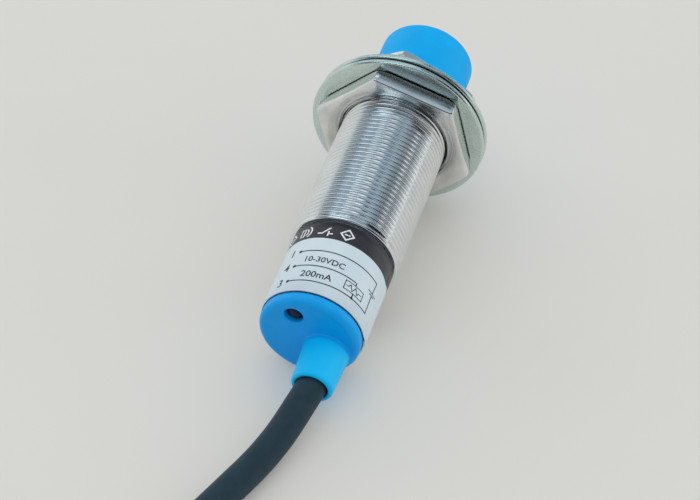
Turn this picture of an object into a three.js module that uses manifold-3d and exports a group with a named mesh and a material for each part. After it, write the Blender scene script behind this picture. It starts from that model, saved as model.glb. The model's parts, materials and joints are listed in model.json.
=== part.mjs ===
// An M18 inductive proximity sensor: a threaded metal barrel with a plastic sensing nose,
// two thin lock nuts, two flat washers, a rear cap with a cable boot, and a short tail of cable.
//
// Millimetres, +Z up. The origin is the centre of the sensing face and +X points out of it.
// The sensor lies at rest on a level surface, on the rim of a washer and on the edge of its
// rear cap, so the barrel's axis leans nose-up in the XZ plane.
//
// Pieces of the barrel are drawn in the sensor's own frame: x is the station along the axis,
// measured forward from the barrel's rear end, y is to the left and z is up.

import * as THREE from 'three';
import { mergeVertices } from 'three/addons/utils/BufferGeometryUtils.js';
import Module from 'manifold-3d';

const wasm = await Module();
wasm.setup();

// ---- Driving dimensions -------------------------------------------------------------------

const THREAD_RADIUS = 9.0;               // M18
const PITCH = 1.0;
const THREAD_DEPTH = 0.613 * PITCH;
const THREAD_REAR = 16.0;                // stations of the thread's two ends
const THREAD_FRONT = 54.4;
const THREAD_CLEARANCE = 0.16;           // radial play between the barrel's thread and a nut's
const THREAD_STEPS = 24;                 // facets to a turn

const LABEL_LENGTH = 15.1;
const LABEL_RADIUS = 8.3;
const LABEL_THICKNESS = 0.15;
const SHOULDER_REAR = LABEL_LENGTH + 0.15;
const SHOULDER_EDGE = 0.4;               // radius of the rounded shoulder in front of the label
const NOSE_TIP = 65.1;
const NOSE_RADIUS = 8.18;
const NOSE_EDGE = 0.4;
const NOSE_WALL = 1.1;
const NOSE_INSIDE_RADIUS = 7.15;

const NUT_ACROSS_FLATS = 24;
const NUT_THICKNESS = 2.8;
const REAR_NUT_STATION = 42.8;           // rear face of the rear nut
const REAR_NUT_TURN = 19.4;              // a corner's angle from level, in degrees
const FRONT_NUT_TURN = 32;
const NUT_CHAMFER_RADIUS = 13.1;         // where the corners' chamfer meets a nut's front face
const NUT_CHAMFER_SLOPE = Math.tan(Math.PI / 6);
const COUNTERSINK_RADIUS = 11.25;
const COUNTERSINK_BOTTOM_RADIUS = 9.55;
const COUNTERSINK_DEPTH = 0.55;
const RELIEF_RADIUS = 9.18;              // end of the steep relief below the countersink
const RELIEF_DEPTH = 1.3;
const LEAD_IN_RADIUS = 9.42;             // chamfer of a nut's thread on its front face
const LEAD_IN_DEPTH = 0.4;

const WASHER_RADIUS = 15.0;
const WASHER_HOLE_RADIUS = 9.3;
const WASHER_THICKNESS = 1.0;
const WASHER_EDGE = 0.12;
const REAR_NUT_GAP = 0.3;                // between the rear nut and its washer
const WASHER_GAP = 0.45;                 // between the two washers
const FRONT_NUT_GAP = 0.1;

const BORE_RADIUS = 7.5;
const FRONT_BORE_RADIUS = 7.9;
const FRONT_BORE_STATION = 47.2;
const SKIRT_CLEARANCE = 0.12;            // between the nose's skirt and the front bore
const SKIRT_END_GAP = 0.3;
const LABEL_SEAT_RADIUS = LABEL_RADIUS - LABEL_THICKNESS - 0.1;

const CAP_RADIUS = 8.07;
const CAP_FACE = -2.0;                   // station of the cap's rear face
const CAP_EDGE = 1.0;                    // radius of the cap's rounded edge
const CAP_PLUG_RADIUS = 7.35;
const CAP_PLUG_FRONT = 4.6;
const CAP_SEAM = 0.15;                   // gap between the cap's flange, or the nose, and the barrel

const BOOT_Y = -2.85;                    // the cable's centre, off the barrel's axis
const BOOT_Z = -2.1;
const BOOT_END = -9.6;
const BOOT_BASE_RADIUS = 3.68;
const BOOT_END_RADIUS = 3.26;
const BOOT_LIP = 0.5;                    // radius of the boot's rounded end
const BOOT_HOLE_RADIUS = 2.5;

const LED_Y = 2.0;
const LED_Z = 4.46;
const LED_HOLE_RADIUS = 1.5;
const LED_RADIUS = 1.38;

const CABLE_RADIUS = 2.35;
const CABLE_HOLE_RADIUS = 1.66;
const WIRE_RADIUS = 0.65;
const WIRE_PITCH_RADIUS = 0.82;          // from the cable's centre to a wire's
const CONDUCTOR_RADIUS = 0.32;

const BOARD_REAR = 9.6;
const BOARD_FRONT = 54.6;
const BOARD_HALF_WIDTH = 6.6;
const BOARD_THICKNESS = 1.0;
const PART_GAP = 0.1;                    // between a component and the board it is soldered to

const ROUND = 48;                        // facets of a visible round piece
const ROUND_INSIDE = 24;                 // and of a hidden one
const PAST = 1;                          // how far a cutter passes the face it cuts

// ---- Where the sensor lies ----------------------------------------------------------------

const REAR_WASHER_STATION = REAR_NUT_STATION + NUT_THICKNESS + REAR_NUT_GAP;
const FRONT_WASHER_STATION = REAR_WASHER_STATION + WASHER_THICKNESS + WASHER_GAP;
const FRONT_NUT_STATION = FRONT_WASHER_STATION + WASHER_THICKNESS + FRONT_NUT_GAP;

// The surface touches the cap's rounded edge and the rear washer's rear rim.
const edgeCentreRadius = CAP_RADIUS - CAP_EDGE;
const rise = WASHER_RADIUS - edgeCentreRadius;
const run = REAR_WASHER_STATION - (CAP_FACE + CAP_EDGE);
const TILT = Math.acos(CAP_EDGE / Math.hypot(rise, run)) - Math.atan2(run, rise);
const AXIS_HEIGHT = WASHER_RADIUS * Math.cos(TILT) - REAR_WASHER_STATION * Math.sin(TILT);
const FLOOR = -NOSE_TIP * Math.sin(TILT) - AXIS_HEIGHT;

/** A point of the sensor's own frame, in the model's frame. */
function inModel(x, y, z) {
  const along = x - NOSE_TIP;
  return new THREE.Vector3(
    along * Math.cos(TILT) - z * Math.sin(TILT),
    y,
    along * Math.sin(TILT) + z * Math.cos(TILT),
  );
}

// ---- Geometry helpers ---------------------------------------------------------------------

/** The geometry with shared vertices merged and its empty triangles left out. */
function welded(geometry) {
  const bare = geometry.clone();
  bare.deleteAttribute('normal');
  bare.deleteAttribute('uv');
  const merged = mergeVertices(bare, 1e-4);
  const index = merged.getIndex().array;
  const kept = [];
  for (let i = 0; i < index.length; i += 3) {
    const [a, b, c] = [index[i], index[i + 1], index[i + 2]];
    if (a !== b && b !== c && c !== a) kept.push(a, b, c);
  }
  merged.setIndex(kept);
  return facingOut(merged);
}

/** The signed volume that a closed surface encloses. */
function volumeOf(geometry) {
  const position = geometry.getAttribute('position');
  const index = geometry.getIndex();
  const corners = [new THREE.Vector3(), new THREE.Vector3(), new THREE.Vector3()];
  let sum = 0;
  for (let i = 0; i < index.count; i += 3) {
    corners.forEach((corner, n) => corner.fromBufferAttribute(position, index.getX(i + n)));
    sum += corners[0].dot(corners[1].clone().cross(corners[2]));
  }
  return sum / 6;
}

/** The closed surface, turned so that its faces point outwards. */
function facingOut(geometry) {
  if (volumeOf(geometry) < 0) {
    const index = [...geometry.getIndex().array];
    geometry.setIndex(index.reverse());
  }
  return geometry;
}

/** A closed geometry as a solid that can be joined and cut. */
function solid(geometry) {
  const closed = welded(geometry);
  return new wasm.Manifold(new wasm.Mesh({
    numProp: 3,
    vertProperties: new Float32Array(closed.getAttribute('position').array),
    triVerts: new Uint32Array(closed.getIndex().array),
  }));
}

/** A solid as geometry again. */
function geometryOf(manifold) {
  const mesh = manifold.getMesh();
  const geometry = new THREE.BufferGeometry();
  geometry.setAttribute('position', new THREE.BufferAttribute(mesh.vertProperties, 3));
  geometry.setIndex([...mesh.triVerts]);
  return geometry;
}

/** A profile of [radius, station] corners, turned about the X axis. */
function turned(profile, facets = ROUND) {
  const points = profile.map(([radius, station]) => new THREE.Vector2(radius, station));
  const geometry = new THREE.LatheGeometry(points, facets);
  geometry.rotateZ(-Math.PI / 2);
  return welded(geometry);
}

/** A profile that closes on itself, for a ring or a tube. */
function turnedRing(profile, facets = ROUND) {
  return turned([...profile, profile[0]], facets);
}

/** A plain round rod along X. */
function rod(radius, from, to, facets = ROUND_INSIDE) {
  return turned([[0, from], [radius, from], [radius, to], [0, to]], facets);
}

/** A plain tube along X. */
function tube(outer, inner, from, to, facets = ROUND) {
  return turnedRing([[inner, from], [outer, from], [outer, to], [inner, to]], facets);
}

/** A quarter circle of profile corners, about [radius, station], from one angle to another. */
function fillet(centreRadius, centreStation, size, fromDegrees, toDegrees, steps = 4) {
  const corners = [];
  for (let i = 0; i <= steps; i += 1) {
    const angle = THREE.MathUtils.degToRad(fromDegrees + ((toDegrees - fromDegrees) * i) / steps);
    corners.push([centreRadius + size * Math.cos(angle), centreStation + size * Math.sin(angle)]);
  }
  return corners;
}

/** A rod with a right-hand screw thread about X. Every such rod's thread is in the same phase. */
function threadedRod(rootRadius, crestRadius, from, to) {
  const firstStep = Math.floor(from / PITCH) * THREAD_STEPS;
  const steps = Math.ceil((to - from) / PITCH) * THREAD_STEPS;
  const positions = [];
  const triangles = [];
  const addPoint = (radius, step, shift) => {
    const angle = (2 * Math.PI * step) / THREAD_STEPS;
    const x = (PITCH * step) / THREAD_STEPS + shift;
    positions.push(x, radius * Math.cos(angle), radius * Math.sin(angle));
    return positions.length / 3 - 1;
  };
  const roots = [];
  const crests = [];
  for (let i = 0; i <= steps + THREAD_STEPS; i += 1) {
    roots.push(addPoint(rootRadius, firstStep + i, 0));
  }
  for (let i = 0; i <= steps; i += 1) {
    crests.push(addPoint(crestRadius, firstStep + i, PITCH / 2));
  }
  for (let i = 0; i < steps; i += 1) {
    const next = i + THREAD_STEPS;
    triangles.push(roots[i], roots[i + 1], crests[i + 1]);
    triangles.push(roots[i], crests[i + 1], crests[i]);
    triangles.push(crests[i], crests[i + 1], roots[next + 1]);
    triangles.push(crests[i], roots[next + 1], roots[next]);
  }
  const rearCentre = addPoint(0, firstStep, PITCH / 2);
  const frontCentre = addPoint(0, firstStep + steps, PITCH / 2);
  for (let i = 0; i < THREAD_STEPS; i += 1) {
    triangles.push(rearCentre, roots[i + 1], roots[i]);
    triangles.push(frontCentre, roots[steps + i], roots[steps + i + 1]);
  }
  triangles.push(rearCentre, roots[0], crests[0]);
  triangles.push(rearCentre, crests[0], roots[THREAD_STEPS]);
  triangles.push(frontCentre, crests[steps], roots[steps]);
  triangles.push(frontCentre, roots[steps + THREAD_STEPS], crests[steps]);
  const geometry = new THREE.BufferGeometry();
  geometry.setAttribute('position', new THREE.Float32BufferAttribute(positions, 3));
  geometry.setIndex(triangles);
  return geometry;
}

/** A box of the sensor's frame, from its lowest corner and its size. */
function block(x, y, z, length, width, height) {
  const geometry = new THREE.BoxGeometry(length, width, height);
  geometry.translate(x + length / 2, y + width / 2, z + height / 2);
  return welded(geometry);
}

/** A circle to sweep or extrude, as a polygon about a centre. */
function circle(radius, facets, x = 0, y = 0) {
  const corners = [];
  for (let i = 0; i < facets; i += 1) {
    const angle = (2 * Math.PI * i) / facets;
    corners.push(new THREE.Vector2(x + radius * Math.cos(angle), y + radius * Math.sin(angle)));
  }
  return corners;
}

/** A round solid swept along a path, with a round hole through it if a hole's radius is given. */
function swept(path, radius, facets, steps, holeRadius = 0, holeFacets = facets) {
  const shape = new THREE.Shape(circle(radius, facets));
  if (holeRadius) shape.holes.push(new THREE.Path(circle(holeRadius, holeFacets).reverse()));
  return welded(new THREE.ExtrudeGeometry(shape, { steps, extrudePath: path, bevelEnabled: false }));
}

/** A curve through points that each hold three coordinates. */
function curveThrough(points) {
  return new THREE.CatmullRomCurve3(points, false, 'centripetal');
}

// ---- Finishes -----------------------------------------------------------------------------

/** A material of one colour. */
function finish(color, roughness, metalness = 0) {
  return new THREE.MeshStandardMaterial({ color, roughness, metalness });
}

const plating = () => finish(0xcfd3d4, 0.22, 1);
const bluePlastic = () => finish(0x0a9be8, 0.45);
const tinned = () => finish(0xc8c9c6, 0.35, 1);
const blackPlastic = () => finish(0x1b1c1e, 0.5);

/** One named piece. */
function piece(name, geometry, material) {
  const mesh = new THREE.Mesh(geometry, material);
  mesh.name = name;
  return mesh;
}

// ---- Barrel, label and nose ---------------------------------------------------------------

/** The metal barrel: label seat, rounded shoulder, thread and stepped bore. */
function barrel() {
  const root = THREAD_RADIUS - THREAD_DEPTH;
  const margin = 3 * PITCH;
  const thread = solid(threadedRod(root, THREAD_RADIUS, THREAD_REAR - margin, THREAD_FRONT + margin));
  const clear = THREAD_RADIUS + PAST;
  const threadStart = THREAD_REAR - 0.3;
  const trimmed = thread.intersect(solid(turned([
    [0, threadStart],
    [clear, threadStart],
    [clear, THREAD_FRONT - clear + root],
    [root, THREAD_FRONT],
    [0, THREAD_FRONT],
  ])));
  const insideThread = root - 0.2;
  const shoulderFront = SHOULDER_REAR + 2 * SHOULDER_EDGE + 0.1;
  const rear = solid(turned([
    [0, 0],
    [LABEL_SEAT_RADIUS, 0],
    [LABEL_SEAT_RADIUS, SHOULDER_REAR],
    ...fillet(THREAD_RADIUS - SHOULDER_EDGE, SHOULDER_REAR + SHOULDER_EDGE, SHOULDER_EDGE, -90, 90, 6),
    [insideThread, shoulderFront],
    [0, shoulderFront],
  ]));
  const bore = solid(turned([
    [0, -PAST],
    [BORE_RADIUS, -PAST],
    [BORE_RADIUS, FRONT_BORE_STATION],
    [FRONT_BORE_RADIUS, FRONT_BORE_STATION],
    [FRONT_BORE_RADIUS, THREAD_FRONT + PAST],
    [0, THREAD_FRONT + PAST],
  ], THREAD_STEPS));
  return piece('barrel', geometryOf(trimmed.add(rear).subtract(bore)), plating());
}

/** The printed label, one strip wrapped round its seat with its two ends almost meeting below. */
function label() {
  const seam = 0.04;                     // half the gap between the strip's ends, in radians
  const endGap = 0.05;
  const shape = new THREE.Shape();
  const start = -Math.PI / 2 + seam;
  const end = start + 2 * Math.PI - 2 * seam;
  const inner = LABEL_RADIUS - LABEL_THICKNESS;
  const corners = [];
  for (let i = 0; i <= ROUND; i += 1) {
    const angle = start + ((end - start) * i) / ROUND;
    corners.push(new THREE.Vector2(LABEL_RADIUS * Math.cos(angle), LABEL_RADIUS * Math.sin(angle)));
  }
  for (let i = ROUND; i >= 0; i -= 1) {
    const angle = start + ((end - start) * i) / ROUND;
    corners.push(new THREE.Vector2(inner * Math.cos(angle), inner * Math.sin(angle)));
  }
  shape.setFromPoints(corners);
  const geometry = new THREE.ExtrudeGeometry(shape, { depth: LABEL_LENGTH - 2 * endGap, bevelEnabled: false });
  geometry.rotateY(Math.PI / 2);
  geometry.rotateX(Math.PI / 2);
  geometry.translate(endGap, 0, 0);
  return piece('wrap_label', welded(geometry), finish(0xd5dfe6, 0.35));
}

/** The blue sensing nose: a deep cup whose skirt slides into the barrel's front. */
function nose() {
  const skirt = FRONT_BORE_RADIUS - SKIRT_CLEARANCE;
  const skirtEnd = FRONT_BORE_STATION + SKIRT_END_GAP;
  const shoulder = THREAD_FRONT + CAP_SEAM;
  return piece('sensing_nose', turned([
    [0, NOSE_TIP - NOSE_WALL],
    [NOSE_INSIDE_RADIUS, NOSE_TIP - NOSE_WALL],
    [NOSE_INSIDE_RADIUS, skirtEnd],
    [skirt, skirtEnd],
    [skirt, shoulder],
    [NOSE_RADIUS, shoulder],
    ...fillet(NOSE_RADIUS - NOSE_EDGE, NOSE_TIP - NOSE_EDGE, NOSE_EDGE, 0, 90),
    [0, NOSE_TIP],
  ]), bluePlastic());
}

// ---- Sensing coil -------------------------------------------------------------------------

const CORE_REAR = 55.8;
const CORE_FRONT = 63.8;
const CORE_RADIUS = 6.95;
const CORE_BORE_RADIUS = 1.2;
const CORE_POST_RADIUS = 3.0;            // the core's centre post
const CORE_RIM_RADIUS = 5.8;             // inside of the core's outer rim
const CORE_FLOOR = 58.0;                 // the bottom of the winding groove
const BOBBIN_INSIDE_RADIUS = 3.15;
const BOBBIN_RADIUS = 5.6;
const BOBBIN_WALL = 0.4;
const BOBBIN_GAP = 0.2;                  // between the bobbin and the groove's floor and mouth
const WINDING_GAP = 0.15;                // between the winding and the bobbin
const LEAD_HOLE_RADIUS = 0.6;
const LEAD_RADIUS = 0.18;
const LEAD_OFFSET = 4.5;                 // from the axis to each coil lead

/** The two places where the coil's leads pass back through the core, as cutters. */
function leadHoles() {
  return [1, -1].map((side) => {
    const hole = rod(LEAD_HOLE_RADIUS, CORE_REAR - PAST, CORE_FLOOR + BOBBIN_GAP + BOBBIN_WALL + 0.1, 12);
    hole.translate(0, side * LEAD_OFFSET, 0);
    return solid(hole);
  });
}

/** The ferrite pot core, its groove open to the front. */
function ferriteCore() {
  const [left, right] = leadHoles();
  const core = solid(turnedRing([
    [CORE_BORE_RADIUS, CORE_REAR],
    [CORE_RADIUS, CORE_REAR],
    [CORE_RADIUS, CORE_FRONT],
    [CORE_RIM_RADIUS, CORE_FRONT],
    [CORE_RIM_RADIUS, CORE_FLOOR],
    [CORE_POST_RADIUS, CORE_FLOOR],
    [CORE_POST_RADIUS, CORE_FRONT],
    [CORE_BORE_RADIUS, CORE_FRONT],
  ], ROUND_INSIDE));
  return piece('ferrite_core', geometryOf(core.subtract(left).subtract(right)), finish(0x34363a, 0.6));
}

/** The plastic bobbin in the core's groove. */
function bobbin() {
  const [left, right] = leadHoles();
  const rear = CORE_FLOOR + BOBBIN_GAP;
  const front = CORE_FRONT - BOBBIN_GAP;
  const spoolRadius = BOBBIN_INSIDE_RADIUS + BOBBIN_WALL;
  const spool = solid(turnedRing([
    [BOBBIN_INSIDE_RADIUS, rear],
    [BOBBIN_RADIUS, rear],
    [BOBBIN_RADIUS, rear + BOBBIN_WALL],
    [spoolRadius, rear + BOBBIN_WALL],
    [spoolRadius, front - BOBBIN_WALL],
    [BOBBIN_RADIUS, front - BOBBIN_WALL],
    [BOBBIN_RADIUS, front],
    [BOBBIN_INSIDE_RADIUS, front],
  ], ROUND_INSIDE));
  return piece('coil_bobbin', geometryOf(spool.subtract(left).subtract(right)), finish(0xe4dfd0, 0.5));
}

/** The copper winding on the bobbin. */
function winding() {
  const end = BOBBIN_GAP + BOBBIN_WALL + WINDING_GAP;
  const inner = BOBBIN_INSIDE_RADIUS + BOBBIN_WALL + WINDING_GAP;
  const outer = BOBBIN_RADIUS - 0.2;
  return piece(
    'coil_winding',
    tube(outer, inner, CORE_FLOOR + end, CORE_FRONT - end, ROUND_INSIDE),
    finish(0xb8642c, 0.4, 1),
  );
}

/** A coil lead, from the winding back to a pad on top of the board. */
function coilLead(name, side) {
  const pad = BOARD_THICKNESS / 2 + LEAD_RADIUS + PART_GAP;
  const y = side * LEAD_OFFSET;
  const path = curveThrough([
    new THREE.Vector3(CORE_FLOOR + BOBBIN_GAP + BOBBIN_WALL + 0.05, y, 0),
    new THREE.Vector3(CORE_REAR + 0.2, y, 0.1),
    new THREE.Vector3(BOARD_FRONT + 0.4, y, pad),
    new THREE.Vector3(BOARD_FRONT - 2.4, y, pad),
  ]);
  return piece(name, swept(path, LEAD_RADIUS, 6, 8), finish(0xb8642c, 0.4, 1));
}

// ---- Nuts and washers ---------------------------------------------------------------------

/** A thin hexagon nut about X: countersunk on its rear face, its corners chamfered on its front. */
function nut(name, station, turnDegrees) {
  const front = station + NUT_THICKNESS;
  const circumradius = NUT_ACROSS_FLATS / Math.sqrt(3);
  const hexagon = new THREE.CylinderGeometry(circumradius, circumradius, NUT_THICKNESS, 6);
  hexagon.rotateZ(-Math.PI / 2);
  hexagon.rotateX(THREE.MathUtils.degToRad(turnDegrees) + Math.PI / 2);
  hexagon.translate(station + NUT_THICKNESS / 2, 0, 0);
  const clear = circumradius + PAST;
  const chamfered = turned([
    [0, station - PAST],
    [clear, station - PAST],
    [clear, front - (clear - NUT_CHAMFER_RADIUS) * NUT_CHAMFER_SLOPE],
    [NUT_CHAMFER_RADIUS - PAST, front + PAST * NUT_CHAMFER_SLOPE],
    [0, front + PAST * NUT_CHAMFER_SLOPE],
  ]);
  const margin = 3 * PITCH;
  const root = THREAD_RADIUS - THREAD_DEPTH + THREAD_CLEARANCE;
  const crest = THREAD_RADIUS + THREAD_CLEARANCE;
  const tap = threadedRod(root, crest, station - margin, front + margin);
  const slope = (COUNTERSINK_RADIUS - COUNTERSINK_BOTTOM_RADIUS) / COUNTERSINK_DEPTH;
  const countersink = turned([
    [0, station - PAST],
    [COUNTERSINK_RADIUS + slope * PAST, station - PAST],
    [COUNTERSINK_BOTTOM_RADIUS, station + COUNTERSINK_DEPTH],
    [RELIEF_RADIUS, station + RELIEF_DEPTH],
    [0, station + RELIEF_DEPTH],
  ]);
  const steep = (LEAD_IN_RADIUS - root) / LEAD_IN_DEPTH;
  const leadIn = turned([
    [0, front - LEAD_IN_DEPTH],
    [root, front - LEAD_IN_DEPTH],
    [LEAD_IN_RADIUS + steep * PAST, front + PAST],
    [0, front + PAST],
  ]);
  const blank = solid(hexagon).intersect(solid(chamfered));
  const bored = blank.subtract(solid(tap)).subtract(solid(countersink)).subtract(solid(leadIn));
  return piece(name, geometryOf(bored), plating());
}

/** A flat washer with eased edges. */
function washer(name, station) {
  const front = station + WASHER_THICKNESS;
  return piece(name, turnedRing([
    [WASHER_HOLE_RADIUS, station],
    [WASHER_RADIUS - WASHER_EDGE, station],
    [WASHER_RADIUS, station + WASHER_EDGE],
    [WASHER_RADIUS, front - WASHER_EDGE],
    [WASHER_RADIUS - WASHER_EDGE, front],
    [WASHER_HOLE_RADIUS, front],
  ]), plating());
}

// ---- Rear cap, lamp and potting -----------------------------------------------------------

/** The moulded rear cap: a plug in the barrel, a rounded flange, and a boot round the cable. */
function rearCap() {
  const flange = solid(turned([
    [0, CAP_FACE],
    ...fillet(CAP_RADIUS - CAP_EDGE, CAP_FACE + CAP_EDGE, CAP_EDGE, -90, 0, 5),
    [CAP_RADIUS, -CAP_SEAM],
    [CAP_PLUG_RADIUS, -CAP_SEAM],
    [CAP_PLUG_RADIUS, CAP_PLUG_FRONT],
    [0, CAP_PLUG_FRONT],
  ]));
  const bootRound = 36;
  const boot = turned([
    [0, BOOT_END],
    ...fillet(BOOT_END_RADIUS - BOOT_LIP, BOOT_END + BOOT_LIP, BOOT_LIP, -90, 0, 3),
    [BOOT_BASE_RADIUS, CAP_FACE],
    [BOOT_BASE_RADIUS, CAP_FACE + PAST],
    [0, CAP_FACE + PAST],
  ], bootRound);
  const bore = rod(BOOT_HOLE_RADIUS, BOOT_END - PAST, CAP_PLUG_FRONT + PAST, bootRound);
  boot.translate(0, BOOT_Y, BOOT_Z);
  bore.translate(0, BOOT_Y, BOOT_Z);
  const lampHole = rod(LED_HOLE_RADIUS, CAP_FACE - PAST, CAP_PLUG_FRONT + PAST);
  lampHole.translate(0, LED_Y, LED_Z);
  const made = flange.add(solid(boot)).subtract(solid(bore)).subtract(solid(lampHole));
  return piece('rear_cap', geometryOf(made), finish(0x0a8fdc, 0.4));
}

const LED_TIP = -1.6;
const LENS_CURVE = 2.6;                  // radius of the lens's shallow dome
const LED_FLANGE_REAR = 4.8;
const LED_FLANGE_FRONT = 5.7;
const LED_FLANGE_RADIUS = 1.7;
const LEG_RADIUS = 0.25;
const LEG_SPREAD = 0.8;                  // half the distance between the lamp's legs

/** The indicator lamp's epoxy body: a shallow dome that looks back out of the cap, and its collar. */
function lampLens() {
  const edgeDegrees = -THREE.MathUtils.radToDeg(Math.acos(LED_RADIUS / LENS_CURVE));
  const geometry = turned([
    ...fillet(0, LED_TIP + LENS_CURVE, LENS_CURVE, -90, edgeDegrees, 5),
    [LED_RADIUS, LED_FLANGE_REAR],
    [LED_FLANGE_RADIUS, LED_FLANGE_REAR],
    [LED_FLANGE_RADIUS, LED_FLANGE_FRONT],
    [0, LED_FLANGE_FRONT],
  ], 18);
  geometry.translate(0, LED_Y, LED_Z);
  return piece('indicator_led', geometry, finish(0x5a1f3d, 0.15));
}

/** One of the lamp's legs, from its collar forward and down to the board. */
function lampLeg(name, side) {
  const y = LED_Y + side * LEG_SPREAD;
  const pad = BOARD_THICKNESS / 2 + LEG_RADIUS + PART_GAP;
  const path = curveThrough([
    new THREE.Vector3(LED_FLANGE_FRONT + 0.1, y, LED_Z),
    new THREE.Vector3(LED_FLANGE_FRONT + 3.4, y, LED_Z),
    new THREE.Vector3(LED_FLANGE_FRONT + 5.2, y, LED_Z - 1.6),
    new THREE.Vector3(LED_FLANGE_FRONT + 6.4, y, pad + 0.3),
    new THREE.Vector3(LED_FLANGE_FRONT + 7.8, y, pad),
  ]);
  return piece(name, swept(path, LEG_RADIUS, 6, 10), tinned());
}

/** The plug of potting resin behind the cap, open round the cable and the lamp. */
function resinPlug() {
  const clearance = 0.2;
  const from = CAP_PLUG_FRONT + 0.3;
  const to = BOARD_REAR - 0.6;
  const plug = solid(rod(BORE_RADIUS - SKIRT_CLEARANCE, from, to, ROUND));
  const cable = rod(CABLE_RADIUS + clearance, from - PAST, to + PAST);
  cable.translate(0, BOOT_Y, BOOT_Z);
  const lamp = rod(LED_FLANGE_RADIUS + clearance, from - PAST, to + PAST);
  lamp.translate(0, LED_Y, LED_Z);
  const made = plug.subtract(solid(cable)).subtract(solid(lamp));
  return piece('potting_resin', geometryOf(made), finish(0x2a2b30, 0.3));
}

// ---- Circuit board ------------------------------------------------------------------------

/** The bare board: a long strip, narrower at its rear end where the cable's wires arrive. */
function board() {
  const narrow = BOARD_HALF_WIDTH - 0.6;
  const step = BOARD_REAR + 3;
  const shape = new THREE.Shape([
    new THREE.Vector2(BOARD_REAR, -narrow),
    new THREE.Vector2(step, -narrow),
    new THREE.Vector2(step, -BOARD_HALF_WIDTH),
    new THREE.Vector2(BOARD_FRONT, -BOARD_HALF_WIDTH),
    new THREE.Vector2(BOARD_FRONT, BOARD_HALF_WIDTH),
    new THREE.Vector2(step, BOARD_HALF_WIDTH),
    new THREE.Vector2(step, narrow),
    new THREE.Vector2(BOARD_REAR, narrow),
  ]);
  const geometry = new THREE.ExtrudeGeometry(shape, { depth: BOARD_THICKNESS, bevelEnabled: false });
  geometry.translate(0, 0, -BOARD_THICKNESS / 2);
  return piece('circuit_board', welded(geometry), finish(0x1e6b3a, 0.5));
}

/** A chip in a moulded package with legs down both sides, on top of the board. */
function chip(name, { x, y, length, width, height, legs }) {
  const base = BOARD_THICKNESS / 2 + PART_GAP;
  const standoff = 0.2;
  const leg = { width: 0.4, height: 0.6, reach: 0.7, inside: 0.2 };
  const legLength = leg.reach + leg.inside;
  let made = solid(block(x, y, base + standoff, length, width, height));
  for (let i = 0; i < legs; i += 1) {
    const at = x + ((i + 0.5) * length) / legs - leg.width / 2;
    for (const side of [y - leg.reach, y + width - leg.inside]) {
      made = made.add(solid(block(at, side, base, leg.width, legLength, leg.height)));
    }
  }
  return piece(name, geometryOf(made), blackPlastic());
}

/** A plain chip component, such as a resistor or a ceramic capacitor. */
function chipPart(name, { x, y, below = false }, { length, width, height }, material) {
  const half = BOARD_THICKNESS / 2 + PART_GAP;
  const z = below ? -half - height : half;
  return piece(name, block(x, y, z, length, width, height), material);
}

/** A round glass diode lying along the board, with a metal band at each end. */
function diode(name, { x, y }) {
  const radius = 0.75;
  const waist = radius - 0.08;
  const band = 0.5;
  const length = 3.5;
  const geometry = turned([
    [0, x],
    [radius, x],
    [radius, x + band],
    [waist, x + band],
    [waist, x + length - band],
    [radius, x + length - band],
    [radius, x + length],
    [0, x + length],
  ], 16);
  geometry.translate(0, y, BOARD_THICKNESS / 2 + PART_GAP + radius);
  return piece(name, geometry, finish(0xa8542a, 0.25));
}

/** Everything soldered to the board. */
function components() {
  const ceramic = () => finish(0xb59a6e, 0.6);
  const tantalum = () => finish(0xc88a2e, 0.5);
  const film = () => finish(0x16171a, 0.4);
  const resistor = { length: 2.0, width: 1.25, height: 0.55 };
  const smallCapacitor = { length: 2.0, width: 1.25, height: 1.1 };
  const capacitor = { length: 3.2, width: 1.6, height: 1.6 };
  const largeCapacitor = { length: 3.2, width: 2.5, height: 1.9 };
  return [
    chip('comparator_chip', { x: 36, y: -2, length: 5, width: 4, height: 1.5, legs: 4 }),
    chip('oscillator_transistor', { x: 45.5, y: -0.7, length: 2.9, width: 1.4, height: 1.0, legs: 2 }),
    chip('output_transistor', { x: 19, y: 1.2, length: 4.5, width: 2.5, height: 1.5, legs: 3 }),
    diode('polarity_diode', { x: 19.5, y: -3.6 }),
    diode('zener_diode', { x: 26, y: 2.6 }),
    chipPart('tuning_capacitor', { x: 50, y: -1.2 }, smallCapacitor, ceramic()),
    chipPart('filter_capacitor', { x: 31.5, y: -4.4 }, capacitor, ceramic()),
    chipPart('supply_capacitor', { x: 27, y: -4.6 }, largeCapacitor, tantalum()),
    chipPart('distance_resistor', { x: 42.8, y: 3.2 }, resistor, film()),
    chipPart('feedback_resistor', { x: 32, y: 2.6 }, resistor, film()),
    chipPart('lamp_resistor', { x: 15.4, y: 2.2 }, resistor, film()),
    chipPart('load_resistor', { x: 22, y: -1.4, below: true }, resistor, film()),
  ];
}

// ---- Cable --------------------------------------------------------------------------------

const JACKET_INNER_END = 8.8;            // station where the jacket stops inside the barrel
const LEAD_END_GAP = 0.1;                // between a wire's insulation and its bare end
const SOLDER_PAD = 4.2;                  // from the board's rear edge to a wire's end
const STRIP_OVERLAP = 2;                 // how far a bare end reaches back into its insulation

/** The centre line of the jacket: straight through the boot, then down and along the surface. */
function cablePath() {
  const straight = [JACKET_INNER_END, 4.5, 0, -4.5, BOOT_END + 1.2];
  const onSurface = (x, y, lift = 0) => new THREE.Vector3(x, y, FLOOR + CABLE_RADIUS + lift);
  return curveThrough([
    ...straight.map((station) => inModel(station, BOOT_Y, BOOT_Z)),
    onSurface(-77.6, -2.05, 1.5),
    onSurface(-82.2, -1.2, 0.65),
    onSurface(-86.4, -0.2, 0.15),
    onSurface(-90.0, 0.8),
    onSurface(-93.4, 1.85),
    onSurface(-97.4, 3.1),
    onSurface(-101.4, 4.4),
    onSurface(-105.4, 6.0),
  ]);
}

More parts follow.
